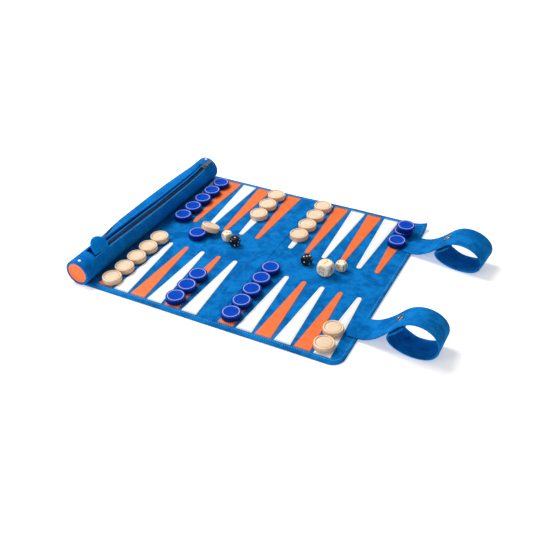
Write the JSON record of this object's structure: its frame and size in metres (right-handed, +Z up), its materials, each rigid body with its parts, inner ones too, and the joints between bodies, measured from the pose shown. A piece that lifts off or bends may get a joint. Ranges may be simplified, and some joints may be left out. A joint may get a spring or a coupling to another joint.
{
  "type": "roll-up backgammon set",
  "caption": "Roll-up backgammon board: suede mat sewn to a round zipped case, two snap straps, checkers, dice and a doubling cube laid out on it.",
  "frame": {"origin": "on the mat's underside, at the middle of the playing field", "axes": "+X from the case to the straps, +Y towards the far row of points, +Z up"},
  "size_m": [0.474, 0.3163, 0.049],
  "materials": {
    "blue_suede": "brushed nap",
    "lining": "matt",
    "orange_leather": "satin",
    "white_leather": "satin",
    "zip_tape": "woven tape with moulded teeth",
    "zip_metal": "antique",
    "nickel": "polished",
    "pale_wood": "oiled",
    "blue_lacquer": "gloss",
    "pale_dice": "gloss",
    "black_dice": "gloss"
  },
  "bodies": {
    "root": {"back_strap_end": "blue_suede", "case_disc_far": "orange_leather", "case_disc_near": "orange_leather", "case_inner_flap": "blue_suede", "case_shell": "blue_suede", "case_stud_far": "white_leather", "case_stud_near": "white_leather", "front_strap_end": "blue_suede", "mat_lining": "lining", "mat_top": "blue_suede", "zip_side_back": "zip_tape", "zip_side_front": "zip_tape"},
    "back_strap": {"back_strap_band": "blue_suede", "back_snap_cap": "nickel"},
    "back_tail": {"back_strap_tail": "blue_suede", "back_snap_stud": "nickel"},
    "front_strap": {"front_strap_band": "blue_suede", "front_snap_cap": "nickel"},
    "front_tail": {"front_strap_tail": "blue_suede", "front_snap_stud": "nickel"},
    "slider": {"zip_slider": "zip_metal"},
    "pull": {"zip_pull": "zip_metal"},
    "tab": {"case_tab": "blue_suede"},
    "doubling_cube": {"doubling_cube": "pale_dice"},
    "die_black_1": {"die_black_1": "black_dice"},
    "die_black_2": {"die_black_2": "black_dice"},
    "die_pale_1": {"die_pale_1": "pale_dice"},
    "die_pale_2": {"die_pale_2": "pale_dice"},
    "checker_blue_01": {"checker_blue_01": "blue_lacquer"},
    "checker_blue_02": {"checker_blue_02": "blue_lacquer"},
    "checker_blue_03": {"checker_blue_03": "blue_lacquer"},
    "checker_blue_04": {"checker_blue_04": "blue_lacquer"},
    "checker_blue_05": {"checker_blue_05": "blue_lacquer"},
    "checker_blue_06": {"checker_blue_06": "blue_lacquer"},
    "checker_blue_07": {"checker_blue_07": "blue_lacquer"},
    "checker_blue_08": {"checker_blue_08": "blue_lacquer"},
    "checker_blue_09": {"checker_blue_09": "blue_lacquer"},
    "checker_blue_10": {"checker_blue_10": "blue_lacquer"},
    "checker_blue_11": {"checker_blue_11": "blue_lacquer"},
    "checker_blue_12": {"checker_blue_12": "blue_lacquer"},
    "checker_blue_13": {"checker_blue_13": "blue_lacquer"},
    "checker_blue_14": {"checker_blue_14": "blue_lacquer"},
    "checker_blue_15": {"checker_blue_15": "blue_lacquer"},
    "checker_blue_16": {"checker_blue_16": "blue_lacquer"},
    "checker_blue_17": {"checker_blue_17": "blue_lacquer"},
    "checker_pale_01": {"checker_pale_01": "pale_wood"},
    "checker_pale_02": {"checker_pale_02": "pale_wood"},
    "checker_pale_03": {"checker_pale_03": "pale_wood"},
    "checker_pale_04": {"checker_pale_04": "pale_wood"},
    "checker_pale_05": {"checker_pale_05": "pale_wood"},
    "checker_pale_06": {"checker_pale_06": "pale_wood"},
    "checker_pale_07": {"checker_pale_07": "pale_wood"},
    "checker_pale_08": {"checker_pale_08": "pale_wood"},
    "checker_pale_09": {"checker_pale_09": "pale_wood"},
    "checker_pale_10": {"checker_pale_10": "pale_wood"},
    "checker_pale_11": {"checker_pale_11": "pale_wood"},
    "checker_pale_12": {"checker_pale_12": "pale_wood"},
    "checker_pale_13": {"checker_pale_13": "pale_wood"},
    "checker_pale_14": {"checker_pale_14": "pale_wood"},
    "checker_pale_15": {"checker_pale_15": "pale_wood"}
  },
  "joints": [
    {"name": "back_strap_bend", "type": "hinge", "parent": "root", "child": "back_strap", "pos_m": [0.17585, 0.103, 0.0048], "axis": [-0.1028, -0.9947, 0], "range_deg": [0, 45]},
    {"name": "back_strap_unsnap", "type": "hinge", "parent": "back_strap", "child": "back_tail", "pos_m": [0.242, 0.09616, 0.0405], "axis": [-0.1028, -0.9947, 0], "range_deg": [0, 80]},
    {"name": "case_pull_swing", "type": "hinge", "parent": "slider", "child": "pull", "pos_m": [-0.16391, 0.12629, 0.03484], "axis": [0.8568, -0.0248, -0.515], "range_deg": [0, 165]},
    {"name": "case_tab_bend", "type": "hinge", "parent": "root", "child": "tab", "pos_m": [-0.17144, -0.12039, 0.0303], "axis": [0.029, 0.9996, 0], "range_deg": [-45, 50], "stiffness_Nm_per_rad": 0.01},
    {"name": "case_zip_slide", "type": "slide", "parent": "root", "child": "slider", "axis": [-0.029, -0.9996, 0], "range_m": [0, 0.214]},
    {"name": "front_strap_bend", "type": "hinge", "parent": "root", "child": "front_strap", "pos_m": [0.17585, -0.0875, 0.0048], "axis": [0, -1, 0], "range_deg": [0, 45]},
    {"name": "front_strap_unsnap", "type": "hinge", "parent": "front_strap", "child": "front_tail", "pos_m": [0.24235, -0.0875, 0.046], "axis": [0, -1, 0], "range_deg": [0, 80]},
    {"name": "lift_doubling_cube", "type": "slide", "parent": "root", "child": "doubling_cube", "axis": [0, 0, 1], "range_m": [0, 0.04]},
    {"name": "lift_die_black_1", "type": "slide", "parent": "root", "child": "die_black_1", "axis": [0, 0, 1], "range_m": [0, 0.04]},
    {"name": "lift_die_black_2", "type": "slide", "parent": "root", "child": "die_black_2", "axis": [0, 0, 1], "range_m": [0, 0.04]},
    {"name": "lift_die_pale_1", "type": "slide", "parent": "root", "child": "die_pale_1", "axis": [0, 0, 1], "range_m": [0, 0.04]},
    {"name": "lift_die_pale_2", "type": "slide", "parent": "root", "child": "die_pale_2", "axis": [0, 0, 1], "range_m": [0, 0.04]},
    {"name": "lift_checker_blue_01", "type": "slide", "parent": "root", "child": "checker_blue_01", "axis": [0, 0, 1], "range_m": [0, 0.04]},
    {"name": "lift_checker_blue_02", "type": "slide", "parent": "root", "child": "checker_blue_02", "axis": [0, 0, 1], "range_m": [0, 0.04]},
    {"name": "lift_checker_blue_03", "type": "slide", "parent": "root", "child": "checker_blue_03", "axis": [0, 0, 1], "range_m": [0, 0.04]},
    {"name": "lift_checker_blue_04", "type": "slide", "parent": "root", "child": "checker_blue_04", "axis": [0, 0, 1], "range_m": [0, 0.04]},
    {"name": "lift_checker_blue_05", "type": "slide", "parent": "root", "child": "checker_blue_05", "axis": [0, 0, 1], "range_m": [0, 0.04]},
    {"name": "lift_checker_blue_06", "type": "slide", "parent": "root", "child": "checker_blue_06", "axis": [0, 0, 1], "range_m": [0, 0.04]},
    {"name": "lift_checker_blue_07", "type": "slide", "parent": "root", "child": "checker_blue_07", "axis": [0, 0, 1], "range_m": [0, 0.04]},
    {"name": "lift_checker_blue_08", "type": "slide", "parent": "root", "child": "checker_blue_08", "axis": [0, 0, 1], "range_m": [0, 0.04]},
    {"name": "lift_checker_blue_09", "type": "slide", "parent": "root", "child": "checker_blue_09", "axis": [0, 0, 1], "range_m": [0, 0.04]},
    {"name": "lift_checker_blue_10", "type": "slide", "parent": "root", "child": "checker_blue_10", "axis": [0, 0, 1], "range_m": [0, 0.04]},
    {"name": "lift_checker_blue_11", "type": "slide", "parent": "root", "child": "checker_blue_11", "axis": [0, 0, 1], "range_m": [0, 0.04]},
    {"name": "lift_checker_blue_12", "type": "slide", "parent": "root", "child": "checker_blue_12", "axis": [0, 0, 1], "range_m": [0, 0.04]},
    {"name": "lift_checker_blue_13", "type": "slide", "parent": "root", "child": "checker_blue_13", "axis": [0, 0, 1], "range_m": [0, 0.04]},
    {"name": "lift_checker_blue_14", "type": "slide", "parent": "root", "child": "checker_blue_14", "axis": [0, 0, 1], "range_m": [0, 0.04]},
    {"name": "lift_checker_blue_15", "type": "slide", "parent": "root", "child": "checker_blue_15", "axis": [0, 0, 1], "range_m": [0, 0.04]},
    {"name": "lift_checker_blue_17", "type": "slide", "parent": "root", "child": "checker_blue_17", "axis": [0, 0, 1], "range_m": [0, 0.04]},
    {"name": "lift_checker_pale_01", "type": "slide", "parent": "root", "child": "checker_pale_01", "axis": [0, 0, 1], "range_m": [0, 0.04]},
    {"name": "lift_checker_pale_02", "type": "slide", "parent": "root", "child": "checker_pale_02", "axis": [0, 0, 1], "range_m": [0, 0.04]},
    {"name": "lift_checker_pale_03", "type": "slide", "parent": "root", "child": "checker_pale_03", "axis": [0, 0, 1], "range_m": [0, 0.04]},
    {"name": "lift_checker_pale_04", "type": "slide", "parent": "root", "child": "checker_pale_04", "axis": [0, 0, 1], "range_m": [0, 0.04]},
    {"name": "lift_checker_pale_05", "type": "slide", "parent": "root", "child": "checker_pale_05", "axis": [0, 0, 1], "range_m": [0, 0.04]},
    {"name": "lift_checker_pale_06", "type": "slide", "parent": "root", "child": "checker_pale_06", "axis": [0, 0, 1], "range_m": [0, 0.04]},
    {"name": "lift_checker_pale_07", "type": "slide", "parent": "root", "child": "checker_pale_07", "axis": [0, 0, 1], "range_m": [0, 0.04]},
    {"name": "lift_checker_pale_08", "type": "slide", "parent": "root", "child": "checker_pale_08", "axis": [0, 0, 1], "range_m": [0, 0.04]},
    {"name": "lift_checker_pale_09", "type": "slide", "parent": "root", "child": "checker_pale_09", "axis": [0, 0, 1], "range_m": [0, 0.04]},
    {"name": "lift_checker_pale_10", "type": "slide", "parent": "root", "child": "checker_pale_10", "axis": [0, 0, 1], "range_m": [0, 0.04]},
    {"name": "lift_checker_pale_11", "type": "slide", "parent": "root", "child": "checker_pale_11", "axis": [0, 0, 1], "range_m": [0, 0.04]},
    {"name": "lift_checker_pale_12", "type": "slide", "parent": "root", "child": "checker_pale_12", "axis": [0, 0, 1], "range_m": [0, 0.04]},
    {"name": "lift_checker_pale_13", "type": "slide", "parent": "root", "child": "checker_pale_13", "axis": [0, 0, 1], "range_m": [0, 0.04]},
    {"name": "lift_checker_pale_14", "type": "slide", "parent": "root", "child": "checker_pale_14", "axis": [0, 0, 1], "range_m": [0, 0.04]},
    {"name": "lift_checker_blue_16", "type": "slide", "parent": "checker_blue_14", "child": "checker_blue_16", "axis": [0, 0, 1], "range_m": [0, 0.04]},
    {"name": "lift_checker_pale_15", "type": "slide", "parent": "checker_blue_17", "child": "checker_pale_15", "axis": [0, 0, 1], "range_m": [0, 0.04]}
  ]
}
